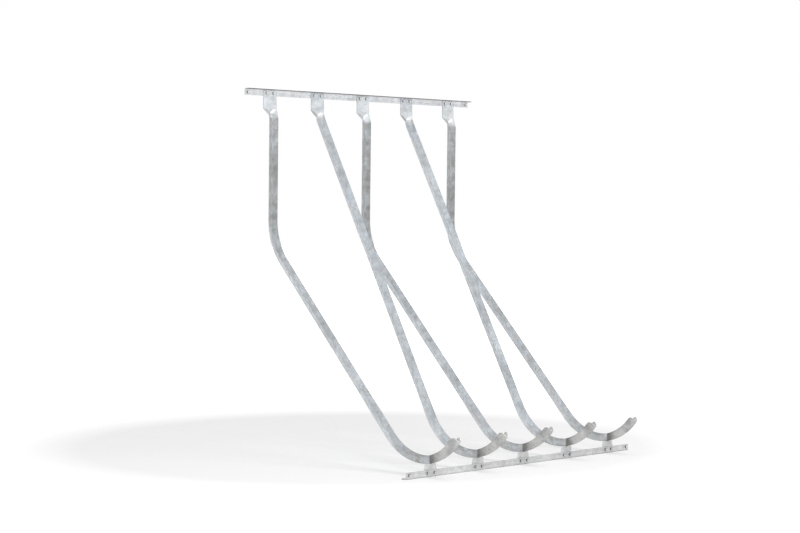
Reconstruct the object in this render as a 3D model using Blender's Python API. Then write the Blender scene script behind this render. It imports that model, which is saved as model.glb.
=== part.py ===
"""Angled bike parking rack: five folded channels between a wall rail and a floor rail.

Units are metres and +Z is up. Y = 0 is the wall, Z = 0 is the floor and X = 0 is the middle
channel. Channels 1, 3 and 5 follow the wall before they slope out to the floor. Channels 2
and 4 slope out straight from the wall rail.
"""

import math

import bmesh
import bpy
from mathutils import Vector

# Layout
CHANNEL_COUNT = 5
CHANNEL_PITCH = 0.350
GAP = 0.0003

# Rails, folded from flat steel
RAIL_LENGTH = CHANNEL_COUNT * CHANNEL_PITCH
RAIL_LEG = 0.035
RAIL_SHEET = 0.004
RAIL_INNER_RADIUS = 0.003
WALL_RAIL_TOP = 2.006
FLOOR_RAIL_FRONT = -1.247

# Channel section, measured over the outside
SHEET = 0.003
BASE_WIDTH = 0.018
MOUTH_WIDTH = 0.050
CHANNEL_DEPTH = 0.039
WALL_SPLAY = math.atan2((MOUTH_WIDTH - BASE_WIDTH) / 2, CHANNEL_DEPTH)
LIP_INSIDE_DEPTH = CHANNEL_DEPTH + SHEET * math.sin(WALL_SPLAY)
CORNER_RADIUS = 0.009
CORNER_STEPS = 3

# Top tab and the stretch where the flat sheet folds up into the channel
TAB_TOP = 2.000
TAB_BOTTOM = 1.902
TAB_CORNER_RADIUS = 0.006
TAB_CORNER_STEPS = 3
FOLD_LENGTH = 0.058
FOLD_ROWS = 5

# Side view of the channels, along the outside of the web
UPRIGHT_OFFSET = 0.0095
UPRIGHT_LEAN = math.radians(0.93)
UPRIGHT_SLOPE = math.radians(43.5)
UPRIGHT_BEND_RADIUS = 0.350
STRAIGHT_SLOPE = math.radians(28.5)
STRAIGHT_BEND_RADIUS = 0.100
CRADLE_LOW_POINT = Vector((-1.182, 0.061))
UPRIGHT_CRADLE_RADIUS = 0.346
STRAIGHT_CRADLE_RADIUS = 0.349
HOOK_RADIUS = 0.335
QUARTER_TURN = math.radians(90)
SEAM_ANGLE = QUARTER_TURN + math.radians(12.6)
HOOK_END_ANGLE = QUARTER_TURN + math.radians(52.4)
ARC_STEP = math.radians(5.5)

# Seam between a channel and its hook: a straight cut that leans forward
SEAM_LEAN = math.radians(29)
SEAM_SHIFT = GAP / math.cos(SEAM_LEAN)

# Front end of the hook: a straight cut that leans forward, with rounded front corners. The
# sheet is made a little longer than that, and a cutter takes the rest away.
HOOK_CUT_LEAN = math.radians(10.3)
HOOK_CORNER_RADIUS = 0.020
HOOK_CORNER_BLUNT = 0.0005
HOOK_CORNER_STEPS = 7
HOOK_SPARE_ANGLES = (math.radians(0.4), math.radians(2))
HOOK_CUTTER_LENGTH = 0.060
HOOK_CUTTER_MARGIN = 0.010

# Foot tabs between the cradles and the floor rail
FOOT_SHEET = 0.004
FOOT_BOTTOM_WIDTH = 0.096
FOOT_TOP_WIDTH = 0.078
FOOT_BOTTOM = 0.008

# Fasteners, M8 hexagon bolts and nuts
BOLT_RADIUS = 0.004
BOLT_LENGTH = 0.016
BOLT_TIP_CHAMFER = 0.0007
HEX_WIDTH = 0.013
HEAD_HEIGHT = 0.0053
NUT_HEIGHT = 0.0065
HEX_CHAMFER = 0.0008
HOLE_RADIUS = 0.0045
HOLE_INSET = 0.020
DRILL_REACH = 0.010
ROUND_SIDES = 12
TAB_HOLE_HALF_PITCH = 0.025
END_HOLE_INSET = 0.020
ANCHOR_HOLE_X = (-0.505, -0.160, 0.160, 0.505)
NUT_BORE_RADIUS = BOLT_RADIUS + GAP
HEX_CORNER_RADIUS = HEX_WIDTH / 2 / math.cos(math.pi / 6)

# Colour, metallic value and roughness
RAIL_FINISH = ((0.62, 0.63, 0.63), 0.75, 0.45)
CHANNEL_FINISH = ((0.56, 0.59, 0.61), 0.80, 0.42)
HOOK_FINISH = ((0.50, 0.50, 0.50), 0.80, 0.48)
FOOT_FINISH = ((0.64, 0.64, 0.63), 0.70, 0.50)
FASTENER_FINISH = ((0.42, 0.43, 0.44), 0.90, 0.35)

SMOOTH_ANGLE = math.radians(35)

# Heights and depths that follow from the values above
TAB_BACK = -(RAIL_SHEET + GAP)
TAB_FRONT = TAB_BACK - SHEET
WALL_HOLE_HEIGHT = WALL_RAIL_TOP - HOLE_INSET
FLOOR_HOLE_HEIGHT = HOLE_INSET
FOOT_FRONT = FLOOR_RAIL_FRONT + RAIL_SHEET + GAP
FOOT_BACK = FOOT_FRONT + FOOT_SHEET
END_HOLE_X = RAIL_LENGTH / 2 - END_HOLE_INSET


def channel_x(number):
    """X of a channel's middle plane, for channels 1 to 5 from left to right."""
    return (number - (CHANNEL_COUNT + 1) / 2) * CHANNEL_PITCH


def remove_all_objects():
    """Empty the scene."""
    for item in list(bpy.data.objects):
        bpy.data.objects.remove(item, do_unlink=True)


def make_material(name, finish):
    """A Principled material with one colour, metallic value and roughness."""
    colour, metallic, roughness = finish
    material = bpy.data.materials.new(name)
    material.use_nodes = True
    shader = material.node_tree.nodes["Principled BSDF"]
    shader.inputs["Base Color"].default_value = (*colour, 1.0)
    shader.inputs["Metallic"].default_value = metallic
    shader.inputs["Roughness"].default_value = roughness
    material.diffuse_color = (*colour, 1.0)
    return material


def finish_mesh(bm, name):
    """Turn a bmesh into a mesh with outward faces and smooth curved sides."""
    bmesh.ops.recalc_face_normals(bm, faces=bm.faces)
    mesh = bpy.data.meshes.new(name)
    bm.to_mesh(mesh)
    bm.free()
    mesh.shade_smooth()
    mesh.set_sharp_from_angle(angle=SMOOTH_ANGLE)
    return mesh


def add_object(name, mesh, rack, location=(0, 0, 0)):
    """Place a mesh as one named object under the rack's empty."""
    item = bpy.data.objects.new(name, mesh)
    item.location = location
    item.parent = rack
    bpy.context.collection.objects.link(item)
    return item


def add_cutter(name, mesh, rack):
    """Place a mesh that only cuts others."""
    cutter = add_object(name, mesh, rack)
    cutter.hide_render = True
    cutter.display_type = "WIRE"
    return cutter


def cut(item, cutter):
    """Subtract a cutter from an object."""
    modifier = item.modifiers.new(cutter.name, "BOOLEAN")
    modifier.operation = "DIFFERENCE"
    modifier.solver = "EXACT"
    modifier.object = cutter


def join_rings(bm, rings, closed=False):
    """Bridge equal rings of points into a tube, with its ends capped or joined to each other."""
    loops = [[bm.verts.new(point) for point in ring] for ring in rings]
    count = len(loops[0])
    pairs = list(zip(loops, loops[1:]))
    if closed:
        pairs.append((loops[-1], loops[0]))
    for first, second in pairs:
        for k in range(count):
            after = (k + 1) % count
            bm.faces.new((first[k], first[after], second[after], second[k]))
    return loops


def extrude_outline(bm, outline, start, end, place):
    """Extrude a flat outline from start to end. place turns (a, b, offset) into a point."""
    rings = [[place(a, b, offset) for a, b in outline] for offset in (start, end)]
    loops = join_rings(bm, rings)
    for loop in loops:
        bm.faces.new(loop)


# Lines in the side view. A vector there holds (y, z), and an angle is measured from straight
# down towards the room, so 90 degrees is level and away from the wall.

def heading(angle):
    """Unit vector along a run at this angle."""
    return Vector((-math.sin(angle), -math.cos(angle)))


def inward(angle):
    """Unit vector from the web towards the channel's open side."""
    return Vector((-math.cos(angle), math.sin(angle)))


def arc(centre, radius, start, end):
    """Stations, each a point and its angle, along an arc of the web's outside."""
    steps = max(1, math.ceil((end - start) / ARC_STEP))
    angles = [start + (end - start) * k / steps for k in range(steps + 1)]
    return [(centre - radius * inward(angle), angle) for angle in angles]


def bend(corner, angle_in, angle_out, radius):
    """Stations around a bend whose straight runs would meet at corner."""
    tangent = radius * math.tan((angle_out - angle_in) / 2)
    centre = corner - tangent * heading(angle_in) + radius * inward(angle_in)
    return arc(centre, radius, angle_in, angle_out)


def crossing(point, angle, other_point, other_angle):
    """Where two lines meet, each given by a point and an angle."""
    along = heading(angle)
    other = heading(other_angle)
    distance = (other_point - point).cross(other) / along.cross(other)
    return point + distance * along


def tab_path():
    """Stations down the flat tab, with extra ones around its rounded top corners."""
    depths = []
    for k in range(TAB_CORNER_STEPS + 1):
        depths.append(TAB_CORNER_RADIUS * (1 - math.cos(QUARTER_TURN * k / TAB_CORNER_STEPS)))
    heights = [TAB_TOP - depth for depth in depths] + [TAB_BOTTOM]
    return [(Vector((TAB_BACK, height)), 0.0) for height in heights]


def cradle_path(slope, radius):
    """Stations from the end of the slope, through the lowest point, to the hook's seam."""
    rear_centre = CRADLE_LOW_POINT + Vector((0, radius))
    front_centre = CRADLE_LOW_POINT + Vector((0, HOOK_RADIUS))
    rear = arc(rear_centre, radius, slope, QUARTER_TURN)
    front = arc(front_centre, HOOK_RADIUS, QUARTER_TURN, SEAM_ANGLE)
    return rear + front[1:]


def upright_path():
    """Side view of channels 1, 3 and 5: a short joggle, down the wall, a bend, the slope."""
    cradle = cradle_path(UPRIGHT_SLOPE, UPRIGHT_CRADLE_RADIUS)
    fold_end = Vector((-UPRIGHT_OFFSET, TAB_BOTTOM - FOLD_LENGTH))
    joggle = math.atan2(UPRIGHT_OFFSET + TAB_BACK, FOLD_LENGTH)
    tab = tab_path()
    tab[-1] = (tab[-1][0], joggle / 2)
    corner = crossing(fold_end, -UPRIGHT_LEAN, cradle[0][0], UPRIGHT_SLOPE)
    lower_bend = bend(corner, -UPRIGHT_LEAN, UPRIGHT_SLOPE, UPRIGHT_BEND_RADIUS)
    return tab + [(fold_end, (joggle - UPRIGHT_LEAN) / 2)] + lower_bend + cradle


def straight_path():
    """Side view of channels 2 and 4: one bend right below the tab, then the slope."""
    cradle = cradle_path(STRAIGHT_SLOPE, STRAIGHT_CRADLE_RADIUS)
    tab = tab_path()
    corner = crossing(tab[-1][0], 0.0, cradle[0][0], STRAIGHT_SLOPE)
    return tab + bend(corner, 0.0, STRAIGHT_SLOPE, STRAIGHT_BEND_RADIUS) + cradle


def hook_path():
    """Side view of the cradle's front end, from the seam to its tip and a little further.

    The last station but one lies close behind the cut, so that the web follows its arc there.
    """
    centre = CRADLE_LOW_POINT + Vector((0, HOOK_RADIUS))
    near, far = [HOOK_END_ANGLE + angle for angle in HOOK_SPARE_ANGLES]
    path = arc(centre, HOOK_RADIUS, SEAM_ANGLE, near)
    return path + arc(centre, HOOK_RADIUS, near, far)[1:]


def with_fold_rows(path):
    """Add stations down the stretch where the sheet folds up, so that it twists smoothly."""
    tab_end = next(k for k, station in enumerate(path) if station[0].y <= TAB_BOTTOM)
    result = path[:tab_end + 1]
    travelled = 0.0
    wanted = [FOLD_LENGTH * k / FOLD_ROWS for k in range(1, FOLD_ROWS + 1)]
    for (start, start_angle), (end, end_angle) in zip(path[tab_end:], path[tab_end + 1:]):
        length = (end - start).length
        for distance in wanted:
            share = (distance - travelled) / length
            if GAP / length < share < 1 - GAP / length:
                angle = start_angle + (end_angle - start_angle) * share
                result.append((start.lerp(end, share), angle))
        travelled += length
        result.append((end, end_angle))
    return result


def section_points():
    """The folded channel's outside, from lip to lip.

    Each point is (across, deep, flat), where flat is how far across it lies in the flat sheet.
    """
    turn = QUARTER_TURN - WALL_SPLAY
    tangent = CORNER_RADIUS * math.tan(turn / 2)
    base_half = BASE_WIDTH / 2 - tangent
    neutral_radius = CORNER_RADIUS - SHEET / 2
    wall = math.hypot((MOUTH_WIDTH - BASE_WIDTH) / 2, CHANNEL_DEPTH) - tangent
    half = []
    for k in range(CORNER_STEPS + 1):
        angle = turn * k / CORNER_STEPS
        across = base_half + CORNER_RADIUS * math.sin(angle)
        deep = CORNER_RADIUS * (1 - math.cos(angle))
        half.append((across, deep, base_half + neutral_radius * angle))
    half.append((MOUTH_WIDTH / 2, CHANNEL_DEPTH, base_half + neutral_radius * turn + wall))
    return [(-across, deep, -flat) for across, deep, flat in reversed(half)] + half


SECTION = section_points()


def tab_half_width(depth):
    """Half the tab's width at a depth below its top, narrower at the rounded corners."""
    full = SECTION[-1][2]
    if depth >= TAB_CORNER_RADIUS:
        return full
    rise = TAB_CORNER_RADIUS - depth
    return full - TAB_CORNER_RADIUS + math.sqrt(TAB_CORNER_RADIUS ** 2 - rise ** 2)


def offset_inside(outline):
    """Move an open outline one sheet thickness towards the channel's open side."""
    sides = [(b - a).normalized() for a, b in zip(outline, outline[1:])]
    normals = [Vector((-side.y, side.x)) for side in sides]
    before = normals[:1] + normals
    after = normals + normals[-1:]
    inside = []
    for point, first, second in zip(outline, before, after):
        mitre = (first + second).normalized()
        inside.append(point + mitre * SHEET / mitre.dot(first))
    return inside


def section_outline(folded, half_width):
    """The sheet's closed outline as (across, deep) points, folded by a share from 0 to 1."""
    outside = []
    for across, deep, flat in SECTION:
        flat = max(-half_width, min(half_width, flat))
        outside.append(Vector((flat + (across - flat) * folded, deep * folded)))
    return outside + offset_inside(outside)[::-1]


def section_ring(station, folded, half_width):
    """The outline placed square to the web at one station."""
    point, angle = station
    ring = []
    for across, deep in section_outline(folded, half_width):
        place = point + inward(angle) * deep
        ring.append((across, place.x, place.y))
    return ring


def seam_angle(deep, shift):
    """Angle where the leaning seam, moved forward by shift, crosses the arc at a depth."""
    middle = HOOK_RADIUS - CHANNEL_DEPTH / 2
    reach = middle * math.cos(SEAM_LEAN) - shift * math.sin(SEAM_LEAN)
    spare = reach ** 2 - middle ** 2 - shift ** 2 + (HOOK_RADIUS - deep) ** 2
    along = reach - math.sqrt(spare)
    forward = shift + along * math.sin(SEAM_LEAN)
    return SEAM_ANGLE + math.atan2(forward, middle - along * math.cos(SEAM_LEAN))


def seam_ring(shift):
    """The folded outline where the leaning seam, moved forward by shift, cuts the sheet."""
    centre = CRADLE_LOW_POINT + Vector((0, HOOK_RADIUS))
    ring = []
    for across, deep in section_outline(1.0, SECTION[-1][2]):
        place = centre - (HOOK_RADIUS - deep) * inward(seam_angle(deep, shift))
        ring.append((across, place.x, place.y))
    return ring


def channel_rings(path):
    """Rings down a whole channel: flat tab, fold, full section and the leaning seam."""
    rings = []
    travelled = 0.0
    previous = None
    for station in path:
        point = station[0]
        if previous is not None and previous.y <= TAB_BOTTOM:
            travelled += (point - previous).length
        folded = min(1.0, travelled / FOLD_LENGTH)
        rings.append(section_ring(station, folded, tab_half_width(TAB_TOP - point.y)))
        previous = point
    return rings[:-1] + [seam_ring(0.0)]


def sheet_mesh(rings, name):
    """A folded sheet from its rings, with both cut ends closed."""
    bm = bmesh.new()
    loops = join_rings(bm, rings)
    last = len(loops[0]) - 1
    for loop in (loops[0], loops[-1]):
        for k in range(last // 2):
            bm.faces.new((loop[k], loop[k + 1], loop[last - k - 1], loop[last - k]))
    return finish_mesh(bm, name)


def hook_mesh():
    """The front end of a cradle, before its tip is cut to shape."""
    full = SECTION[-1][2]
    rings = [section_ring(station, 1.0, full) for station in hook_path()[1:]]
    return sheet_mesh([seam_ring(SEAM_SHIFT)] + rings, "hook")


def hook_cut_outline():
    """Side view of the cutter that ends a hook.

    It starts below the web, follows the leaning cut, turns with the corner's arc into the lip,
    whose inside edge it crosses at a slight angle, and closes in front of the sheet.
    """
    centre = CRADLE_LOW_POINT + Vector((0, HOOK_RADIUS))
    foot = centre - HOOK_RADIUS * inward(HOOK_END_ANGLE)
    up = inward(HOOK_END_ANGLE - HOOK_CUT_LEAN)
    along = heading(HOOK_END_ANGLE - HOOK_CUT_LEAN)
    reach = HOOK_RADIUS - LIP_INSIDE_DEPTH + HOOK_CORNER_RADIUS - HOOK_CORNER_BLUNT
    side = HOOK_RADIUS * math.sin(HOOK_CUT_LEAN) - HOOK_CORNER_RADIUS
    rise = HOOK_RADIUS * math.cos(HOOK_CUT_LEAN) - math.sqrt(reach ** 2 - side ** 2)
    middle = foot + up * rise - along * HOOK_CORNER_RADIUS
    sweep = QUARTER_TURN + math.asin(side / reach)
    outline = [foot - up * HOOK_CUTTER_MARGIN]
    for k in range(HOOK_CORNER_STEPS + 1):
        turn = sweep * k / HOOK_CORNER_STEPS
        spoke = along * math.cos(turn) + up * math.sin(turn)
        outline.append(middle + spoke * HOOK_CORNER_RADIUS)
    top = middle + spoke * (HOOK_CORNER_RADIUS + HOOK_CUTTER_MARGIN)
    outline.append(top)
    outline.append(top + along * HOOK_CUTTER_LENGTH)
    outline.append(outline[0] + along * HOOK_CUTTER_LENGTH)
    return outline


def hook_cut_mesh():
    """A cutter across the rack that ends every hook."""
    bm = bmesh.new()
    half = RAIL_LENGTH / 2
    extrude_outline(bm, hook_cut_outline(), -half, half, lambda y, z, x: (x, y, z))
    return finish_mesh(bm, "hook_cut")


def rail_outline():
    """The rail's angle section, with its outer corner at (0, 0) and its legs along + and +."""
    outer = RAIL_INNER_RADIUS + RAIL_SHEET
    turns = [QUARTER_TURN * k / CORNER_STEPS for k in range(CORNER_STEPS + 1)]
    outline = [(RAIL_LEG, 0), (RAIL_LEG, RAIL_SHEET)]
    for turn in turns:
        a = outer - RAIL_INNER_RADIUS * math.sin(turn)
        b = outer - RAIL_INNER_RADIUS * math.cos(turn)
        outline.append((a, b))
    outline += [(RAIL_SHEET, RAIL_LEG), (0, RAIL_LEG)]
    for turn in reversed(turns):
        outline.append((outer - outer * math.sin(turn), outer - outer * math.cos(turn)))
    return outline


def rail_mesh(place, name):
    """A rail along X. place turns (along one leg, along the other, x) into a point."""
    bm = bmesh.new()
    extrude_outline(bm, rail_outline(), -RAIL_LENGTH / 2, RAIL_LENGTH / 2, place)
    return finish_mesh(bm, name)


def circle(radius):
    """Points of a circle around (0, 0)."""
    angles = [2 * math.pi * k / ROUND_SIDES for k in range(ROUND_SIDES)]
    return [(radius * math.cos(angle), radius * math.sin(angle)) for angle in angles]


def bolt_hole_x():
    """X of every hole that holds a bolt."""
    xs = [-END_HOLE_X, END_HOLE_X]
    for number in range(1, CHANNEL_COUNT + 1):
        xs += [channel_x(number) - TAB_HOLE_HALF_PITCH, channel_x(number) + TAB_HOLE_HALF_PITCH]
    return xs


def level_drill(bm, x, z, front, back):
    """A drill along Y through everything from front to back."""
    start = front - DRILL_REACH
    end = back + DRILL_REACH
    extrude_outline(bm, circle(HOLE_RADIUS), start, end, lambda a, b, y: (x + a, y, z + b))


def upright_drill(bm, x, y, bottom, top):
    """A drill along Z through everything from bottom to top."""
    start = bottom - DRILL_REACH
    end = top + DRILL_REACH
    extrude_outline(bm, circle(HOLE_RADIUS), start, end, lambda a, b, z: (x + a, y + b, z))


def wall_holes_mesh():
    """Drills through the wall rail's upright leg and the top tabs in front of it."""
    bm = bmesh.new()
    for x in bolt_hole_x() + list(ANCHOR_HOLE_X):
        level_drill(bm, x, WALL_HOLE_HEIGHT, TAB_FRONT, 0)
    return finish_mesh(bm, "wall_holes")


def floor_holes_mesh():
    """Drills through the floor rail's upright leg and the foot tabs behind it."""
    bm = bmesh.new()
    for x in bolt_hole_x() + list(ANCHOR_HOLE_X):
        level_drill(bm, x, FLOOR_HOLE_HEIGHT, FLOOR_RAIL_FRONT, FOOT_BACK)
    return finish_mesh(bm, "floor_holes")


def anchor_holes_mesh():
    """Drills for the floor anchors, through the leg that lies on the floor."""
    bm = bmesh.new()
    y = FLOOR_RAIL_FRONT + HOLE_INSET
    for x in ANCHOR_HOLE_X:
        upright_drill(bm, x, y, 0, RAIL_SHEET)
    return finish_mesh(bm, "anchor_holes")


def foot_mesh():
    """A foot tab: a plate that narrows upwards and ends just under the cradle's web."""
    reach = FOOT_BACK - CRADLE_LOW_POINT.x
    web = CRADLE_LOW_POINT.y + HOOK_RADIUS - math.sqrt(HOOK_RADIUS ** 2 - reach ** 2)
    top = web - GAP
    outline = [
        (-FOOT_BOTTOM_WIDTH / 2, FOOT_BOTTOM),
        (FOOT_BOTTOM_WIDTH / 2, FOOT_BOTTOM),
        (FOOT_TOP_WIDTH / 2, top),
        (-FOOT_TOP_WIDTH / 2, top),
    ]
    bm = bmesh.new()
    extrude_outline(bm, outline, FOOT_FRONT, FOOT_BACK, lambda x, z, y: (x, y, z))
    return finish_mesh(bm, "foot")


def round_ring(y, radius):
    """A ring around the Y axis."""
    return [(a, y, b) for a, b in circle(radius)]


def hexagon_ring(y):
    """A hexagon around the Y axis, with points at its corners and the middles of its sides."""
    corners = round_ring(y, HEX_CORNER_RADIUS)
    middles = round_ring(y, HEX_WIDTH / 2)
    return [corners[k] if k % 2 == 0 else middles[k] for k in range(ROUND_SIDES)]


def bolt_mesh(length, name):
    """A hexagon bolt that points along +Y, with the underside of its head at Y = 0."""
    rings = [
        round_ring(-HEAD_HEIGHT, HEX_WIDTH / 2),
        hexagon_ring(-HEAD_HEIGHT + HEX_CHAMFER),
        hexagon_ring(0),
        round_ring(0, BOLT_RADIUS),
        round_ring(length - BOLT_TIP_CHAMFER, BOLT_RADIUS),
        round_ring(length, BOLT_RADIUS - BOLT_TIP_CHAMFER),
    ]
    bm = bmesh.new()
    loops = join_rings(bm, rings)
    bm.faces.new(loops[0])
    bm.faces.new(loops[-1])
    return finish_mesh(bm, name)


def nut_mesh():
    """A hexagon nut around the Y axis, with its front face at Y = 0."""
    rings = [
        round_ring(0, HEX_WIDTH / 2),
        hexagon_ring(HEX_CHAMFER),
        hexagon_ring(NUT_HEIGHT - HEX_CHAMFER),
        round_ring(NUT_HEIGHT, HEX_WIDTH / 2),
        round_ring(NUT_HEIGHT, NUT_BORE_RADIUS),
        round_ring(0, NUT_BORE_RADIUS),
    ]
    bm = bmesh.new()
    join_rings(bm, rings, closed=True)
    return finish_mesh(bm, "nut")


def build_rails(rack):
    """The wall rail and the floor rail, drilled."""
    material = make_material("galvanised_rail", RAIL_FINISH)
    wall_mesh = rail_mesh(lambda a, b, x: (x, -a, WALL_RAIL_TOP - b), "wall_rail")
    floor_mesh = rail_mesh(lambda a, b, x: (x, FLOOR_RAIL_FRONT + a, b), "floor_rail")
    rails = []
    for name, mesh in (("wall_rail", wall_mesh), ("floor_rail", floor_mesh)):
        mesh.materials.append(material)
        rails.append(add_object(name, mesh, rack))
    return rails


def build_channels(rack, wall_holes):
    """The five long channels, drilled through their tabs."""
    material = make_material("galvanised_channel", CHANNEL_FINISH)
    upright = sheet_mesh(channel_rings(with_fold_rows(upright_path())), "upright_channel")
    straight = sheet_mesh(channel_rings(with_fold_rows(straight_path())), "straight_channel")
    upright.materials.append(material)
    straight.materials.append(material)
    for number in range(1, CHANNEL_COUNT + 1):
        mesh = upright if number % 2 == 1 else straight
        item = add_object(f"channel_{number}", mesh, rack, (channel_x(number), 0, 0))
        cut(item, wall_holes)


def build_hooks(rack):
    """The five front ends of the cradles, cut to shape at the tip."""
    mesh = hook_mesh()
    mesh.materials.append(make_material("galvanised_hook", HOOK_FINISH))
    end_cutter = add_cutter("hook_end_cutter", hook_cut_mesh(), rack)
    for number in range(1, CHANNEL_COUNT + 1):
        item = add_object(f"cradle_hook_{number}", mesh, rack, (channel_x(number), 0, 0))
        cut(item, end_cutter)


def build_feet(rack, floor_holes):
    """The five foot tabs, drilled."""
    mesh = foot_mesh()
    mesh.materials.append(make_material("galvanised_foot", FOOT_FINISH))
    for number in range(1, CHANNEL_COUNT + 1):
        item = add_object(f"foot_tab_{number}", mesh, rack, (channel_x(number), 0, 0))
        cut(item, floor_holes)


def build_fasteners(rack):
    """Bolts in every tab and rail end, with nuts behind the floor rail's."""
    material = make_material("zinc_fastener", FASTENER_FINISH)
    tab_head = TAB_FRONT - GAP
    wall_head = TAB_BACK
    floor_head = FLOOR_RAIL_FRONT - GAP
    wall_bolt = bolt_mesh(-GAP - tab_head, "wall_bolt")
    wall_end_bolt = bolt_mesh(-GAP - wall_head, "wall_end_bolt")
    floor_bolt = bolt_mesh(BOLT_LENGTH, "floor_bolt")
    nut = nut_mesh()
    for mesh in (wall_bolt, wall_end_bolt, floor_bolt, nut):
        mesh.materials.append(material)
    for number in range(1, CHANNEL_COUNT + 1):
        for side, letter in ((-1, "a"), (1, "b")):
            x = channel_x(number) + side * TAB_HOLE_HALF_PITCH
            tag = f"{number}{letter}"
            add_object(f"wall_bolt_{tag}", wall_bolt, rack, (x, tab_head, WALL_HOLE_HEIGHT))
            add_object(f"foot_bolt_{tag}", floor_bolt, rack, (x, floor_head, FLOOR_HOLE_HEIGHT))
            add_object(f"foot_nut_{tag}", nut, rack, (x, FOOT_BACK + GAP, FLOOR_HOLE_HEIGHT))
    end_nut = FLOOR_RAIL_FRONT + RAIL_SHEET + GAP
    for side, word in ((-1, "left"), (1, "right")):
        x = side * END_HOLE_X
        add_object(f"wall_end_bolt_{word}", wall_end_bolt, rack, (x, wall_head, WALL_HOLE_HEIGHT))
        add_object(f"floor_end_bolt_{word}", floor_bolt, rack, (x, floor_head, FLOOR_HOLE_HEIGHT))
        add_object(f"floor_end_nut_{word}", nut, rack, (x, end_nut, FLOOR_HOLE_HEIGHT))


def build_rack():
    """Build every piece of the rack."""
    remove_all_objects()
    rack = bpy.data.objects.new("bike_rack", None)
    bpy.context.collection.objects.link(rack)
    wall_holes = add_cutter("wall_hole_cutter", wall_holes_mesh(), rack)
    floor_holes = add_cutter("floor_hole_cutter", floor_holes_mesh(), rack)
    anchor_holes = add_cutter("anchor_hole_cutter", anchor_holes_mesh(), rack)
    wall_rail, floor_rail = build_rails(rack)
    cut(wall_rail, wall_holes)
    cut(floor_rail, floor_holes)
    cut(floor_rail, anchor_holes)
    build_channels(rack, wall_holes)
    build_hooks(rack)
    build_feet(rack, floor_holes)
    build_fasteners(rack)


build_rack()
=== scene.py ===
"""Looks for the bike parking rack: finely swept galvanised sheet, welds, fasteners and a pale studio.

Units are metres. Y = 0 is the wall, Z = 0 is the floor and X = 0 is the middle channel.
"""

import math

import bmesh
import bpy
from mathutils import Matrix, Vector, noise


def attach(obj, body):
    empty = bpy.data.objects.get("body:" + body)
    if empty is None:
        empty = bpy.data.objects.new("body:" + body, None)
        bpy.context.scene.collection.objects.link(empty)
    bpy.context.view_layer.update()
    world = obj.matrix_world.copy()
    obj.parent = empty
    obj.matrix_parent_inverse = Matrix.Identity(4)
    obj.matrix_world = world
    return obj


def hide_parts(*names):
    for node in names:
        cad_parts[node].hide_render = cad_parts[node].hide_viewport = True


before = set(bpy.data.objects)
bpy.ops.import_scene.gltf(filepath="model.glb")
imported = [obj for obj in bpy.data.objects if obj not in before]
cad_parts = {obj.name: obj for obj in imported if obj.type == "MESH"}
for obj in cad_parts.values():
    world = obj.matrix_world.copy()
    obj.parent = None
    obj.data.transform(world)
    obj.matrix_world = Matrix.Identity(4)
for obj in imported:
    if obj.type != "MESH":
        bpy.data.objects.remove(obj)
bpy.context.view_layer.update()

# Layout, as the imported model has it
CHANNELS = (1, 2, 3, 4, 5)
MIDDLE_CHANNEL = 3
PITCH = 0.350
GAP = 0.0003
QUARTER = math.radians(90)

# Rails
RAIL_LENGTH = len(CHANNELS) * PITCH
RAIL_LEG = 0.035
RAIL_SHEET = 0.004
RAIL_INNER_RADIUS = 0.003
RAIL_EDGE = 0.0012
RAIL_END_ROW = 0.002
WALL_RAIL_TOP = 2.006
FLOOR_RAIL_FRONT = -1.247

# Channel section, over the outside
SHEET = 0.003
BASE_WIDTH = 0.018
MOUTH_WIDTH = 0.050
DEPTH = 0.039
CORNER_RADIUS = 0.009
CORNER_STEPS = 9
WALL_SHARES = (0.3, 0.6, 0.85, 0.95, 1.0)
WALL_SPLAY = math.atan2((MOUTH_WIDTH - BASE_WIDTH) / 2, DEPTH)
LIP_INSIDE_DEPTH = DEPTH + SHEET * math.sin(WALL_SPLAY)
EDGE_RADIUS = 0.0006
EDGE_STEPS = 2
EDGE_FADE = [0.15, 0.4]

# Top tab and fold
TAB_TOP = 2.000
TAB_BOTTOM = 1.902
TAB_BACK = -(RAIL_SHEET + GAP)
TAB_FRONT = TAB_BACK - SHEET
TAB_CORNER_RADIUS = 0.006
TAB_CORNER_STEPS = 8
FOLD_LENGTH = 0.058
FOLD_ROWS = 16

# Side view of the channels along the outside of the web
UPRIGHT_OFFSET = 0.0095
UPRIGHT_LEAN = math.radians(0.93)
UPRIGHT_SLOPE = math.radians(43.5)
UPRIGHT_BEND_RADIUS = 0.350
UPRIGHT_CRADLE_RADIUS = 0.346
STRAIGHT_SLOPE = math.radians(28.5)
STRAIGHT_BEND_RADIUS = 0.100
STRAIGHT_CRADLE_RADIUS = 0.349
LOW_POINT = Vector((-1.182, 0.061))
HOOK_RADIUS = 0.335
HOOK_CENTRE = LOW_POINT + Vector((0, HOOK_RADIUS))
SEAM_ANGLE = QUARTER + math.radians(12.6)
SEAM_LEAN = math.radians(29)
SEAM_SHIFT = GAP / math.cos(SEAM_LEAN)
SEAM_CLEAR = math.radians(3)
ARC_STEP = math.radians(1.4)
ROW_SPACING = 0.06
ROW_CLEAR = 0.0003

# Front end of the hook: a straight cut that leans forward, with rounded corners
HOOK_END_ANGLE = QUARTER + math.radians(52.4)
HOOK_CUT_LEAN = math.radians(10.3)
HOOK_CORNER_RADIUS = 0.020
HOOK_CORNER_BLUNT = 0.0005
HOOK_CORNER_STEPS = 16
HOOK_SPARE_ANGLES = (math.radians(0.4), math.radians(2))
HOOK_CUTTER_LENGTH = 0.060
HOOK_CUTTER_MARGIN = 0.010

# Foot tabs
FOOT_SHEET = 0.004
FOOT_BOTTOM_WIDTH = 0.096
FOOT_TOP_WIDTH = 0.078
FOOT_BOTTOM = 0.008
FOOT_FRONT = FLOOR_RAIL_FRONT + RAIL_SHEET + GAP
FOOT_BACK = FOOT_FRONT + FOOT_SHEET

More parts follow.
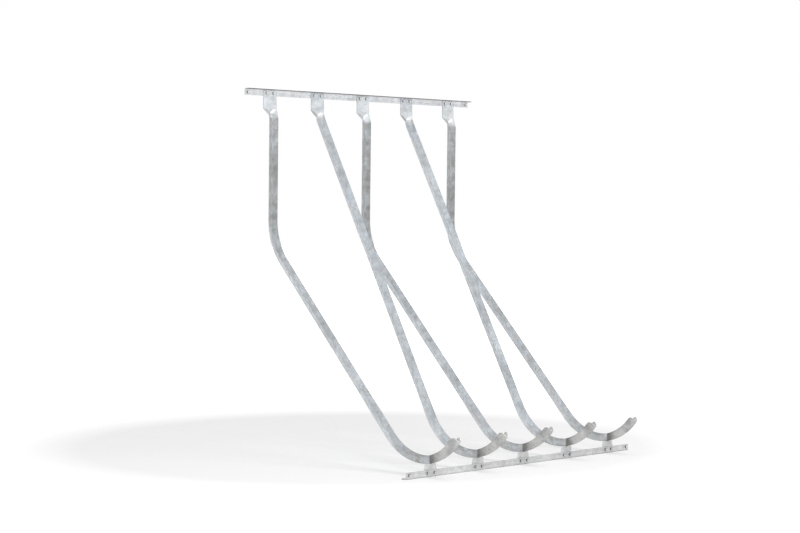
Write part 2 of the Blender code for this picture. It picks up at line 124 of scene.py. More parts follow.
# Holes and softened edges
HOLE_RADIUS = 0.0045
HOLE_STEPS = 36
HOLE_INSET = 0.020
HOLE_HALF_PITCH = 0.025
ANCHOR_X = (-0.505, -0.160, 0.160, 0.505)
WALL_HOLE_Z = WALL_RAIL_TOP - HOLE_INSET
END_HOLE_X = RAIL_LENGTH / 2 - HOLE_INSET
DRILL_REACH = 0.01
SOFT_EDGE = 0.0005
SOFT_EDGE_ANGLE = math.radians(50)
CREASE_ANGLE = math.radians(32)

# Bolts and nuts
RING_STEPS = 72
BOLT_RADIUS = 0.004
BOLT_LENGTH = 0.016
HEX_HALF_WIDTH = 0.0065
HEX_CHAMFER_SLOPE = math.tan(math.radians(28))
HEAD_HEIGHT = 0.0053
HEAD_FACE_RADIUS = HEX_HALF_WIDTH * 0.94
DISH_DEPTH = 0.0002
DISH_FLOOR_RADIUS = HEAD_FACE_RADIUS * 0.55
DISH_RIM_RADIUS = HEAD_FACE_RADIUS * 0.62
SEAT_HEIGHT = 0.0004
SEAT_TOP_RADIUS = HEX_HALF_WIDTH * 0.97
SEAT_RADIUS = HEX_HALF_WIDTH * 0.96
THREAD_PITCH = 0.00125
THREAD_DEPTH = 0.0006
THREAD_STEPS = 8
THREAD_START = 0.003
THREAD_TIP = 0.0008
NUT_HEIGHT = 0.0065
NUT_FACE_RADIUS = HEX_HALF_WIDTH * 0.95
NUT_BORE_RADIUS = BOLT_RADIUS + GAP
NUT_BORE_CHAMFER = 0.0004

# Bead around a hook's seam. A wave counts rows along the bead, the grain is per metre, and the hollow is
# the share of its height that is left between two ripples.
SEAM_WELD_SPACING = 0.001
SEAM_WELD_STEPS = 8
SEAM_WELD_HALF_WIDTH = 0.0021
SEAM_WELD_HEIGHT = 0.00055
SEAM_WELD_SINK = 0.0001
SEAM_WELD_ROOT = 0.0006
SEAM_WELD_WAVE = 3.1
SEAM_WELD_HOLLOW = 0.75
SEAM_WELD_GRAIN = 160
SEAM_WELD_WANDER = 0.3

# Beads along a foot tab's top edge, smaller at their ends
FOOT_WELD_LENGTH = 0.017
FOOT_WELD_ROWS = 34
FOOT_WELD_STEPS = 6
FOOT_WELD_SIZE = 0.0026
FOOT_WELD_SWELL = 1.1
FOOT_WELD_RISE = 0.0002
FOOT_WELD_ROOT = (0.0006, 0.0001)
FOOT_WELD_WAVE = 4.3
FOOT_WELD_RIPPLE = 0.12
FOOT_WELD_GRAIN = 200
FOOT_WELD_WANDER = 0.2
FOOT_WELD_END_SIZE = 0.35
FOOT_WELD_END_GROWTH = 4

# Zinc patterns. A scale counts features per metre, and a swing is how far a pattern moves a tone either way.
NOISE_RANGE = (0.3, 0.7)
WARP_SCALE = 45.0
WARP_SIZE = 0.014
CRYSTAL_SCALE = 60.0
CRYSTAL_SWING = 0.07
FLECK_SCALE = 190.0
FLECK_SWING = 0.03
SPECK_START = 0.95
SPECK_RISE = 0.08
CLOUD_SCALE = 6.0
CLOUD_SWING = 0.10
PATCH_SCALE = 28.0
PATCH_SWING = 0.11
PATCH_ACROSS = 0.4
GRAIN_SCALE = 900.0
# How far the patches move painted shade where it is partial
PAINTED_SHADE_SWING = 0.6
EDGE_LEVEL = 0.72
WARM_TINT = (1.02, 1.0, 0.985, 1.0)
COOL_TINT = (0.96, 1.0, 1.03, 1.0)

# Zinc finish. The roughness moves by these amounts, and the reliefs share one bump.
ZINC_METALLIC = 0.12
ZINC_ROUGHNESS = 0.48
ZINC_SPECULAR = 0.3
# Metallic of the zinc where light is painted
PAINTED_LIGHT_METALLIC = 0.9
CRYSTAL_ROUGHNESS = (-0.05, 0.06)
CLOUD_ROUGHNESS = (-0.05, 0.07)
EDGE_ROUGHNESS = 0.12
CRYSTAL_RELIEF = 0.5
GRAIN_RELIEF = 0.35
PATCH_RELIEF = 1.2
RELIEF_STRENGTH = 0.25
RELIEF_HEIGHT = 0.0006

# Painted shade and painted light on the zinc, as (place, share) pairs. A share of 1 is a material's whole
# painted shade or painted light colour. The place is a height on the channels and a distance from the seam
# on the hooks.
# Painted shade on the upright channels, from the bend up to just under the fold
UPRIGHT_PAINTED_SHADE = (
    (1.10, 0.0), (1.32, 0.42), (1.66, 0.40), (1.74, 0.30),
    (1.820, 0.22), (1.832, 0.45), (1.845, 0.42), (1.856, 0.0),
)
# Painted shade on the cradles' lowest part, near the floor
CRADLE_PAINTED_SHADE = ((0.075, 0.41), (0.125, 0.0))
# Painted light on the cradles above it
CRADLE_PAINTED_LIGHT = ((0.115, 0.0), (0.150, 0.14), (0.300, 0.10), (0.450, 0.0))
# Painted shade on the straight channels' tabs, less at the top, and painted light on the upright ones', most
# at the top under the flange
TAB_PAINTED_SHADE = ((1.895, 0.0), (1.905, 0.16), (1.955, 0.16), (1.985, 0.0))
TAB_PAINTED_LIGHT = ((1.895, 0.0), (1.905, 0.10), (1.955, 0.10), (1.985, 0.22))
# Painted shade on the hooks next to the seam, and again further along
HOOK_PAINTED_SHADE = (
    (0.0, 1.0), (0.024, 0.90), (0.046, 0.35), (0.072, 0.04),
    (0.130, 0.04), (0.160, 0.38), (0.190, 0.34), (0.230, 0.15),
)
# Painted light on the inside of a hook's right wall beyond that
HOOK_PAINTED_LIGHT = ((0.180, 0.0), (0.205, 0.5))
# Painted light on a hook's cut end
CUT_PAINTED_LIGHT = 0.5

# Factors of the upright channels' painted shade: inside, by share of the half width laid flat, and outside.
# Low down, their inside keeps a little painted shade everywhere.
UPRIGHT_INSIDE = ((0.25, 0.5), (0.6, 1.3), (1.0, 1.5))
UPRIGHT_OUTSIDE = 1.25
LOW_INSIDE_TOP = 1.3
LOW_INSIDE_PAINTED_SHADE = 0.10

# Painted light on the outside of the slopes, up to a height: first the straight channels', then the upright
# ones'
OUTSIDE_PAINTED_LIGHT = 0.12
OUTSIDE_PAINTED_LIGHT_TOP = (1.75, 1.25)

# Painted light and shade in the fold below a tab, by share of the fold: painted shade on the left inside, a
# painted highlight streak and a painted shade rim. Of two rows, the first is the straight channels' and the
# second the upright ones'.
FOLD_PAINTED_SHADE = ((0.0, 0.0), (0.10, 0.75), (0.42, 0.75), (0.62, 0.0))
FOLD_PAINTED_STREAKS = (
    ((0.12, 0.0), (0.20, 1.0), (0.38, 1.0), (0.46, 0.0)),
    ((0.0, 0.0), (0.04, 1.0), (0.42, 1.0), (0.52, 0.0)),
)
FOLD_PAINTED_RIM = ((0.30, 0.0), (0.42, 0.9), (0.65, 0.8), (1.0, 0.0))

# The same painted shade and painted highlight across the sheet, by share of the half width laid flat. Shade
# and streak start at the sheet's edge, drift to the web along the fold, and fade with the distance from
# their middle.
FOLD_DRIFT = 1.75
SHADE_START = 1.05
SHADE_FADE = ((0.2, 1.0), (0.45, 0.0))
STREAK_START = 0.85
STREAK_FADE = ((0.12, 1.0), (0.32, 0.0))
STREAK_REACH = (
    ((0.4, 1.0), (0.6, 0.0)),
    ((0.45, 1.0), (0.85, 0.25)),
)
RIM_START = 0.8

# Painted shade shares on a bolt: a foot bolt's face, the rim of any face, the sides, the seat and the shank
FOOT_BOLT_PAINTED_SHADE = 0.2
FACE_RIM_PAINTED_SHADE = 0.5
SIDE_PAINTED_SHADE = 1.0
SEAT_PAINTED_SHADE = 0.6
SHANK_PAINTED_SHADE = 0.3

# Studio. The floor's glow rises from the first strength to the second between two distances from the rack.
# A lamp has a name, a place, a target, a size and a power.
WHITE = (1.0, 1.0, 1.0, 1.0)
WORLD_STRENGTH = 0.637
FLOOR_COLOUR = (0.82, 0.82, 0.82, 1.0)
FLOOR_GLOW = (0.19, 1.0)
FLOOR_GLOW_REACH = (1.6, 3.5)
FLOOR_HALF_WIDTH = 60.0
FLOOR_HEIGHT = -0.0003
LAMPS = (
    ("key", (-5.0, -7.5, 2.0), (0.0, -0.6, 1.2), 2.0, 244.0),
    ("top", (0.5, -3.5, 7.0), (0.0, -0.6, 0.9), 3.5, 137.0),
)
CAMERA_PLACE = (-7.5228, -7.9681, 1.3042)
CAMERA_TURN = (math.radians(88.536), 0.0, math.radians(-44.49))
CAMERA_LENS = 85.8
CAMERA_SENSOR = 36.0


def channel_x(number):
    """X of a channel's middle plane."""
    return (number - MIDDLE_CHANNEL) * PITCH


def between(pairs, x):
    """Value at x on a line through (x, value) pairs, level beyond both ends."""
    if x <= pairs[0][0]:
        return pairs[0][1]
    for (x0, value0), (x1, value1) in zip(pairs, pairs[1:]):
        if x <= x1:
            return value0 + (value1 - value0) * (x - x0) / (x1 - x0)
    return pairs[-1][1]


# Shader nodes

def node(tree, kind, inputs=(), **settings):
    """Add a shader node. inputs maps a socket's name or number to a value or another socket."""
    made = tree.nodes.new(kind)
    for key, value in settings.items():
        setattr(made, key, value)
    for key, value in dict(inputs).items():
        if isinstance(value, bpy.types.NodeSocket):
            tree.links.new(value, made.inputs[key])
        else:
            made.inputs[key].default_value = value
    return made


def spread(tree, value, low, high, start=0.0, end=1.0):
    """Map a value from the range start to end onto the range low to high."""
    inputs = {"Value": value, "From Min": start, "From Max": end, "To Min": low, "To Max": high}
    return node(tree, "ShaderNodeMapRange", inputs).outputs["Result"]


def swung(tree, value, swing, start=0.0, end=1.0):
    """A factor that follows a pattern around 1."""
    return spread(tree, value, 1 - swing, 1 + swing, start, end)


def maths(tree, operation, *values):
    """Join values with one operation, from the first to the last."""
    result = values[0]
    for value in values[1:]:
        result = node(tree, "ShaderNodeMath", {0: result, 1: value}, operation=operation).outputs[0]
    return result


def vector_maths(tree, operation, a, b):
    """Join two vectors with one operation."""
    return node(tree, "ShaderNodeVectorMath", {0: a, 1: b}, operation=operation).outputs[0]


def mixed(tree, share, a, b, blend="MIX"):
    """Mix two colours, which go into the node's sockets 6 and 7."""
    inputs = {"Factor": share, 6: a, 7: b}
    return node(tree, "ShaderNodeMix", inputs, data_type="RGBA", blend_type=blend).outputs[2]


def parted(tree, colour):
    """A colour's red, green and blue."""
    return node(tree, "ShaderNodeSeparateColor", {"Color": colour}).outputs


def marked(tree, name):
    """A weight that the mesh carries."""
    return node(tree, "ShaderNodeAttribute", attribute_name=name).outputs["Fac"]


def soft_noise(tree, place, scale, detail=2.0, roughness=0.5):
    """Outputs of a soft noise."""
    inputs = {"Vector": place, "Scale": scale, "Detail": detail, "Roughness": roughness}
    return node(tree, "ShaderNodeTexNoise", inputs).outputs


def cells(tree, place, scale):
    """Outputs of a pattern of cells that each have a tone of their own."""
    return node(tree, "ShaderNodeTexVoronoi", {"Vector": place, "Scale": scale}).outputs


# Materials

def zinc_patterns(tree, across):
    """The patterns on zinc, by name. With across under 1, the patches are longer along X."""
    place = node(tree, "ShaderNodeTexCoord").outputs["Object"]
    warp = soft_noise(tree, place, WARP_SCALE)["Color"]
    bent = vector_maths(tree, "ADD", place, vector_maths(tree, "MULTIPLY", warp, (WARP_SIZE,) * 3))
    crystal = cells(tree, bent, CRYSTAL_SCALE)
    fleck = cells(tree, bent, FLECK_SCALE)
    wide = vector_maths(tree, "MULTIPLY", bent, (across, 1.0, 1.0))
    patch = soft_noise(tree, wide, PATCH_SCALE, detail=3.0, roughness=0.55)
    return {
        "cloud": soft_noise(tree, place, CLOUD_SCALE, detail=4.0, roughness=0.6)["Fac"],
        "patch": patch["Fac"],
        "hue": parted(tree, patch["Color"])["Green"],
        "crystal": parted(tree, crystal["Color"]),
        "hollow": crystal["Distance"],
        "fleck": parted(tree, fleck["Color"]),
        "grain": soft_noise(tree, place, GRAIN_SCALE)["Fac"],
        "edge": marked(tree, "edge"),
    }


def marked_colour(tree, patch, colour, painted_shade, painted_light):
    """A zinc's own colour, turned towards painted shade and painted light where the mesh is marked."""
    base = (*colour, 1.0)
    if painted_shade:
        share = marked(tree, "painted_shade")
        room = maths(tree, "MULTIPLY", share, maths(tree, "SUBTRACT", 1.0, share))
        swing = maths(tree, "MULTIPLY", room, spread(tree, patch, PAINTED_SHADE_SWING, -PAINTED_SHADE_SWING, *NOISE_RANGE))
        base = mixed(tree, maths(tree, "ADD", share, swing), base, (*painted_shade, 1.0))
    if painted_light:
        base = mixed(tree, marked(tree, "painted_light"), base, (*painted_light, 1.0))
    return base


def pattern_level(tree, patterns, crystals):
    """How light the patterns make the zinc. crystals is how strongly they show."""
    specks = maths(tree, "GREATER_THAN", patterns["fleck"]["Green"], SPECK_START)
    return maths(
        tree,
        "MULTIPLY",
        swung(tree, patterns["cloud"], CLOUD_SWING * crystals, *NOISE_RANGE),
        swung(tree, patterns["patch"], PATCH_SWING * crystals, *NOISE_RANGE),
        swung(tree, patterns["crystal"]["Red"], CRYSTAL_SWING * crystals),
        swung(tree, patterns["fleck"]["Red"], FLECK_SWING * crystals),
        spread(tree, specks, 1.0, 1 + SPECK_RISE * crystals),
        spread(tree, patterns["edge"], 1.0, EDGE_LEVEL),
    )


def zinc_roughness(tree, patterns, roughness):
    """Roughness that follows the crystals, the clouds and the cut edges."""
    low, high = CRYSTAL_ROUGHNESS
    return maths(
        tree,
        "ADD",
        spread(tree, patterns["crystal"]["Blue"], roughness + low, roughness + high),
        spread(tree, patterns["cloud"], *CLOUD_ROUGHNESS, *NOISE_RANGE),
        spread(tree, patterns["edge"], 0.0, EDGE_ROUGHNESS),
    )


def zinc_relief(tree, patterns):
    """Normals of a shallow relief."""
    height = maths(
        tree,
        "ADD",
        spread(tree, patterns["hollow"], 0.0, CRYSTAL_RELIEF),
        spread(tree, patterns["grain"], 0.0, GRAIN_RELIEF),
        spread(tree, patterns["patch"], 0.0, PATCH_RELIEF),
    )
    inputs = {"Height": height, "Strength": RELIEF_STRENGTH, "Distance": RELIEF_HEIGHT}
    return node(tree, "ShaderNodeBump", inputs).outputs["Normal"]


def galvanised(name, colour, metallic=ZINC_METALLIC, roughness=ZINC_ROUGHNESS, painted_shade=None, painted_light=None,
               crystals=1.0, across=1.0):
    """Hot dip zinc with crystals, clouds, patches, a fine grain and duller cut edges.

    The colours of marked zinc are painted shade and painted light, and the painted light is also more
    metallic. crystals and across are as in pattern_level and zinc_patterns.
    """
    material = bpy.data.materials.new(name)
    material.use_nodes = True
    material.diffuse_color = (*colour, 1.0)
    tree = material.node_tree
    shader = tree.nodes["Principled BSDF"].inputs
    shader["Metallic"].default_value = metallic
    shader["Specular IOR Level"].default_value = ZINC_SPECULAR
    patterns = zinc_patterns(tree, across)
    if painted_light:
        tree.links.new(spread(tree, marked(tree, "painted_light"), metallic, PAINTED_LIGHT_METALLIC), shader["Metallic"])
    level = pattern_level(tree, patterns, crystals)
    grey = node(tree, "ShaderNodeCombineColor", {"Red": level, "Green": level, "Blue": level}).outputs[0]
    base = marked_colour(tree, patterns["patch"], colour, painted_shade, painted_light)
    toned = mixed(tree, 1.0, base, grey, "MULTIPLY")
    tint = mixed(tree, spread(tree, patterns["hue"], 0.0, 1.0, *NOISE_RANGE), WARM_TINT, COOL_TINT)
    tree.links.new(mixed(tree, 1.0, toned, tint, "MULTIPLY"), shader["Base Color"])
    tree.links.new(zinc_roughness(tree, patterns, roughness), shader["Roughness"])
    tree.links.new(zinc_relief(tree, patterns), shader["Normal"])
    return material


# Each zinc's second colour is its painted shade, and the channels' and hooks' third colour is their painted
# light
rail_zinc = galvanised("rail_zinc", (0.73, 0.737, 0.75), painted_shade=(0.11, 0.10, 0.085))
floor_zinc = galvanised("floor_zinc", (0.615, 0.61, 0.61), painted_shade=(0.11, 0.10, 0.085))
channel_zinc = galvanised("channel_zinc", (0.600, 0.625, 0.644), painted_shade=(0.32, 0.31, 0.29),
                          painted_light=(0.95, 0.96, 0.97), crystals=1.35, across=PATCH_ACROSS)
hook_zinc = galvanised("hook_zinc", (0.555, 0.552, 0.54), painted_shade=(0.19, 0.19, 0.185),
                       painted_light=(0.86, 0.86, 0.85), across=PATCH_ACROSS)
foot_zinc = galvanised("foot_zinc", (0.64, 0.64, 0.635), roughness=0.50)
weld_zinc = galvanised("weld_zinc", (0.46, 0.46, 0.45), metallic=0.25, roughness=0.45)
bolt_zinc = galvanised("bolt_zinc", (0.78, 0.79, 0.80), metallic=0.80, roughness=0.26,
                       painted_shade=(0.05, 0.05, 0.055), crystals=0.3)


# Mesh helpers

def new_object(name, bm, material=None):
    """Turn a bmesh into an object of the scene."""
    mesh = bpy.data.meshes.new(name)
    bm.to_mesh(mesh)
    bm.free()
    if material:
        mesh.materials.append(material)
    made = bpy.data.objects.new(name, mesh)
    bpy.context.scene.collection.objects.link(made)
    return made


def smooth(mesh):
    """Shade a mesh smooth, with creases where its faces turn sharply."""
    mesh.shade_smooth()
    mesh.set_sharp_from_angle(angle=CREASE_ANGLE)


def add_piece(name, bm, material, replaced=(), marks=None):
    """Turn a bmesh into a piece. replaced names the CAD nodes it replaces, marks holds vertex weights."""
    bmesh.ops.recalc_face_normals(bm, faces=bm.faces)
    piece = new_object(name, bm, material)
    smooth(piece.data)
    for key, values in (marks or {}).items():
        layer = piece.data.attributes.new(key, "FLOAT", "POINT")
        layer.data.foreach_set("value", values)
    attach(piece, "root")
    if replaced:
        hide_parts(*replaced)
    return piece


def rebuild(piece, modifiers):
    """Apply modifiers to a piece by keeping the evaluated mesh."""
    for kind, settings in modifiers:
        modifier = piece.modifiers.new(kind, kind)
        for key, value in settings.items():
            setattr(modifier, key, value)
    depsgraph = bpy.context.evaluated_depsgraph_get()
    mesh = bpy.data.meshes.new_from_object(piece.evaluated_get(depsgraph))
    piece.modifiers.clear()
    smooth(mesh)
    piece.data = mesh


def add_loops(bm, rings, closed=False):
    """Join rings of equally many points with quads and return their vertices."""
    loops = [[bm.verts.new(point) for point in ring] for ring in rings]
    pairs = list(zip(loops, loops[1:]))
    if closed:
        pairs.append((loops[-1], loops[0]))
    for first, second in pairs:
        for k in range(len(first)):
            after = (k + 1) % len(first)
            bm.faces.new((first[k], first[after], second[after], second[k]))
    return loops


def add_capped(bm, rings):
    """Join rings with quads and close both ends with one face each."""
    loops = add_loops(bm, rings)
    bm.faces.new(loops[0])
    bm.faces.new(loops[-1])


def extruded(outline, start, end, place, middle=()):
    """A flat outline extruded from start to end. place turns (a, b, offset) into a world point."""
    bm = bmesh.new()
    add_capped(bm, [[place(a, b, offset) for a, b in outline] for offset in (start, *middle, end)])
    return bm


def circle(radius, steps):
    """Points of a circle around (0, 0)."""
    turns = [2 * math.pi * k / steps for k in range(steps)]
    return [(radius * math.cos(turn), radius * math.sin(turn)) for turn in turns]


# Side view of the channels. A vector holds (y, z). An angle is measured from straight down
# towards the room, so a quarter turn is level and away from the wall.

def heading(angle):
    """Unit vector along a run."""
    return Vector((-math.sin(angle), -math.cos(angle)))


def inward(angle):
    """Unit vector from the web towards the open side."""
    return Vector((-math.cos(angle), math.sin(angle)))


def arc(centre, radius, start, end):
    """Stations, each a point and its angle, along an arc."""
    steps = max(1, math.ceil((end - start) / ARC_STEP))
    angles = [start + (end - start) * k / steps for k in range(steps + 1)]
    return [(centre - radius * inward(angle), angle) for angle in angles]


def hook_station(angle):
    """The station at an angle on the arc in front of the lowest point."""
    return HOOK_CENTRE - HOOK_RADIUS * inward(angle), angle


def bend(corner, angle_in, angle_out, radius):
    """Stations around a bend whose straight runs would meet at corner."""
    tangent = radius * math.tan((angle_out - angle_in) / 2)
    centre = corner - tangent * heading(angle_in) + radius * inward(angle_in)
    return arc(centre, radius, angle_in, angle_out)


def crossing(point, angle, other_point, other_angle):
    """Where two lines meet."""
    along = heading(angle)
    other = heading(other_angle)
    return point + (other_point - point).cross(other) / along.cross(other) * along


def tab_path():
    """Stations down the flat tab."""
    turns = [QUARTER * k / TAB_CORNER_STEPS for k in range(TAB_CORNER_STEPS + 1)]
    heights = [TAB_TOP - TAB_CORNER_RADIUS * (1 - math.cos(turn)) for turn in turns]
    return [(Vector((TAB_BACK, height)), 0.0) for height in heights + [TAB_BOTTOM]]


def cradle_path(slope, radius):
    """Stations from the end of the slope to the seam."""
    rear = arc(LOW_POINT + Vector((0, radius)), radius, slope, QUARTER)
    front = arc(HOOK_CENTRE, HOOK_RADIUS, QUARTER, SEAM_ANGLE - SEAM_CLEAR)
    return rear + front[1:] + [hook_station(SEAM_ANGLE)]


def upright_path():
    """Channels 1, 3 and 5: a joggle, down the wall, a bend and the slope."""
    cradle = cradle_path(UPRIGHT_SLOPE, UPRIGHT_CRADLE_RADIUS)
    fold_end = Vector((-UPRIGHT_OFFSET, TAB_BOTTOM - FOLD_LENGTH))
    joggle = math.atan2(UPRIGHT_OFFSET + TAB_BACK, FOLD_LENGTH)
    tab = tab_path()
    tab[-1] = (tab[-1][0], joggle / 2)
    corner = crossing(fold_end, -UPRIGHT_LEAN, cradle[0][0], UPRIGHT_SLOPE)
    lower = bend(corner, -UPRIGHT_LEAN, UPRIGHT_SLOPE, UPRIGHT_BEND_RADIUS)
    return tab + [(fold_end, (joggle - UPRIGHT_LEAN) / 2)] + lower + cradle


def straight_path():
    """Channels 2 and 4: one bend below the tab, then the slope."""
    cradle = cradle_path(STRAIGHT_SLOPE, STRAIGHT_CRADLE_RADIUS)
    tab = tab_path()
    corner = crossing(tab[-1][0], 0.0, cradle[0][0], STRAIGHT_SLOPE)
    return tab + bend(corner, 0.0, STRAIGHT_SLOPE, STRAIGHT_BEND_RADIUS) + cradle


def with_rows(path):
    """Add stations in the fold and on the long runs."""
    tab_end = next(k for k, station in enumerate(path) if station[0].y <= TAB_BOTTOM)
    result = path[:tab_end + 1]
    travelled = 0.0
    wanted = [FOLD_LENGTH * k / FOLD_ROWS for k in range(1, FOLD_ROWS + 1)]
    for (start, first), (end, last) in zip(path[tab_end:], path[tab_end + 1:]):
        length = (end - start).length
        shares = [(distance - travelled) / length for distance in wanted]
        count = math.ceil(length / ROW_SPACING)
        shares += [k / count for k in range(1, count)]
        for share in sorted(share for share in shares if ROW_CLEAR < share * length < length - ROW_CLEAR):
            result.append((start.lerp(end, share), first + (last - first) * share))
        travelled += length
        result.append((end, last))
    return result


def channel_stations(path):
    """A whole channel's stations, as (point, angle, folded, half width), from the flat tab to the seam."""
    stations = []
    travelled = 0.0
    previous = None
    for point, angle in path:
        if previous is not None and previous.y <= TAB_BOTTOM:
            travelled += (point - previous).length
        folded = min(1.0, travelled / FOLD_LENGTH)
        stations.append((point, angle, folded, tab_half_width(TAB_TOP - point.y)))
        previous = point
    return stations


def hook_stations():
    """Stations of a cradle's front end, a little longer than it ends up."""
    near, far = [HOOK_END_ANGLE + angle for angle in HOOK_SPARE_ANGLES]
    path = [hook_station(SEAM_ANGLE)]
    path += arc(HOOK_CENTRE, HOOK_RADIUS, SEAM_ANGLE + SEAM_CLEAR, near)
    path += arc(HOOK_CENTRE, HOOK_RADIUS, near, far)[1:]
    return [(point, angle, 1.0, FULL) for point, angle in path]


def hook_cut_outline():
    """Side view of the cutter that ends a hook: the leaning cut and the arc of the front corners."""
    foot, _ = hook_station(HOOK_END_ANGLE)
    up = inward(HOOK_END_ANGLE - HOOK_CUT_LEAN)
    along = heading(HOOK_END_ANGLE - HOOK_CUT_LEAN)
    reach = HOOK_RADIUS - LIP_INSIDE_DEPTH + HOOK_CORNER_RADIUS - HOOK_CORNER_BLUNT
    side = HOOK_RADIUS * math.sin(HOOK_CUT_LEAN) - HOOK_CORNER_RADIUS
    rise = HOOK_RADIUS * math.cos(HOOK_CUT_LEAN) - math.sqrt(reach ** 2 - side ** 2)
    middle = foot + up * rise - along * HOOK_CORNER_RADIUS
    sweep = QUARTER + math.asin(side / reach)
    outline = [foot - up * HOOK_CUTTER_MARGIN]
    for k in range(HOOK_CORNER_STEPS + 1):
        turn = sweep * k / HOOK_CORNER_STEPS
        spoke = along * math.cos(turn) + up * math.sin(turn)
        outline.append(middle + spoke * HOOK_CORNER_RADIUS)
    top = middle + spoke * (HOOK_CORNER_RADIUS + HOOK_CUTTER_MARGIN)
    outline += [top, top + along * HOOK_CUTTER_LENGTH, outline[0] + along * HOOK_CUTTER_LENGTH]
    return outline


# Section of the folded sheet

def section_half():
    """Half of the folded section's outside, as (across, deep, flat) from the web to the lip."""
    turn = QUARTER - WALL_SPLAY
    tangent = CORNER_RADIUS * math.tan(turn / 2)
    base = BASE_WIDTH / 2 - tangent
    neutral = CORNER_RADIUS - SHEET / 2
    wall = math.hypot((MOUTH_WIDTH - BASE_WIDTH) / 2, DEPTH) - tangent
    half = []
    for k in range(CORNER_STEPS + 1):
        angle = turn * k / CORNER_STEPS
        across = base + CORNER_RADIUS * math.sin(angle)
        deep = CORNER_RADIUS * (1 - math.cos(angle))
        half.append((across, deep, base + neutral * angle))
    across, deep, flat = half[-1]
    for share in WALL_SHARES:
        half.append((
            across + (MOUTH_WIDTH / 2 - across) * share,
            deep + (DEPTH - deep) * share,
            flat + wall * share,
        ))
    return half


HALF = section_half()
FULL = HALF[-1][2]


def tab_half_width(depth):
    """Half the tab's width at a depth below its top."""
    if depth >= TAB_CORNER_RADIUS:
        return FULL
    rise = TAB_CORNER_RADIUS - depth
    return FULL - TAB_CORNER_RADIUS + math.sqrt(TAB_CORNER_RADIUS ** 2 - rise ** 2)


def section_outline(folded=1.0, half_width=FULL):
    """The sheet's closed outline as (across, deep) points with rounded edges, and a weight near them."""
    outside = []
    for across, deep, flat in HALF:
        flat = min(half_width, flat)
        outside.append(Vector((flat + (across - flat) * folded, deep * folded)))
    sides = [(b - a).normalized() for a, b in zip(outside, outside[1:])]
    normals = [Vector((-side.y, side.x)) if side.length else Vector((0, 1)) for side in sides]
    inside = []
    for point, first, second in zip(outside, [Vector((0, 1))] + normals, normals + normals[-1:]):
        mitre = (first + second).normalized()
        inside.append(point + mitre * SHEET / mitre.dot(first))
    outer, inner = outside[-1], inside[-1]
    thick = (inner - outer).normalized()
    run = Vector((thick.y, -thick.x))
    first = []
    second = []
    for k in range(EDGE_STEPS + 1):
        turn = QUARTER * k / EDGE_STEPS
        back = run * EDGE_RADIUS * (1 - math.sin(turn))
        across = thick * EDGE_RADIUS * (1 - math.cos(turn))
        first.append(outer - back + across)
        second.append(inner - back - across)
    edge = first + second[::-1]
    half = outside[:-1] + edge + inside[-2::-1]
    plain = [0.0] * (len(outside) - 1 - len(EDGE_FADE))
    weights = plain + EDGE_FADE + [1.0] * len(edge) + EDGE_FADE[::-1] + plain
    mirror = [Vector((-point.x, point.y)) for point in reversed(half)]
    return half + mirror, weights + weights[::-1]


def outline_parts():
    """Where each point of a sheet's outline lies: its side, whether it is inside, and its flat share."""
    flat = [station[2] / FULL for station in HALF]
    half = [(False, share) for share in flat[:-1]]
    half += [(False, 1.0)] * (EDGE_STEPS + 1) + [(True, 1.0)] * (EDGE_STEPS + 1)
    half += [(True, share) for share in flat[-2::-1]]
    return [(1, *part) for part in half] + [(-1, *part) for part in reversed(half)]


def sheet_rings(x, stations):
    """World points of each station's outline, and their edge weights."""
    rings = []
    weights = []
    for point, angle, folded, half_width in stations:
        outline, weight = section_outline(folded, half_width)
        ring = []
        for across, deep in outline:
            place = point + inward(angle) * deep
            ring.append(Vector((x + across, place.x, place.y)))
        rings.append(ring)
        weights.append(weight)
    return rings, weights


def sheet_bmesh(rings):
    """A folded sheet from its rings, with both ends closed by quads across the sheet."""
    bm = bmesh.new()
    loops = add_loops(bm, rings)
    count = len(loops[0])
    for loop in (loops[0], loops[-1]):
        for low, high in ((0, count // 2 - 1), (count // 2, count - 1)):
            while high - low > 2:
                bm.faces.new((loop[low], loop[low + 1], loop[high - 1], loop[high]))
                low += 1
                high -= 1
            if high - low == 2:
                bm.faces.new((loop[low], loop[low + 1], loop[high]))
        bm.faces.new((loop[0], loop[count // 2 - 1], loop[count // 2], loop[-1]))
    return bm


# The seam between a channel and its hook leans forward and cuts the sheet at a slant.

def seam_angle(deep, shift):
    """Angle where the leaning seam, moved forward by shift, crosses the arc at a depth."""
    middle = HOOK_RADIUS - DEPTH / 2
    reach = middle * math.cos(SEAM_LEAN) - shift * math.sin(SEAM_LEAN)
    along = reach - math.sqrt(reach ** 2 - middle ** 2 - shift ** 2 + (HOOK_RADIUS - deep) ** 2)
    forward = shift + along * math.sin(SEAM_LEAN)
    return SEAM_ANGLE + math.atan2(forward, middle - along * math.cos(SEAM_LEAN))


def seam_point(x, across, deep, shift):
    """World point of an outline point where the leaning seam cuts the sheet."""
    place = HOOK_CENTRE - (HOOK_RADIUS - deep) * inward(seam_angle(deep, shift))
    return Vector((x + across, place.x, place.y))


def seam_ring(x, shift):
    """World points of the folded outline along the leaning seam."""
    outline, _ = section_outline()
    return [seam_point(x, across, deep, shift) for across, deep in outline]


# Marks on the sheet

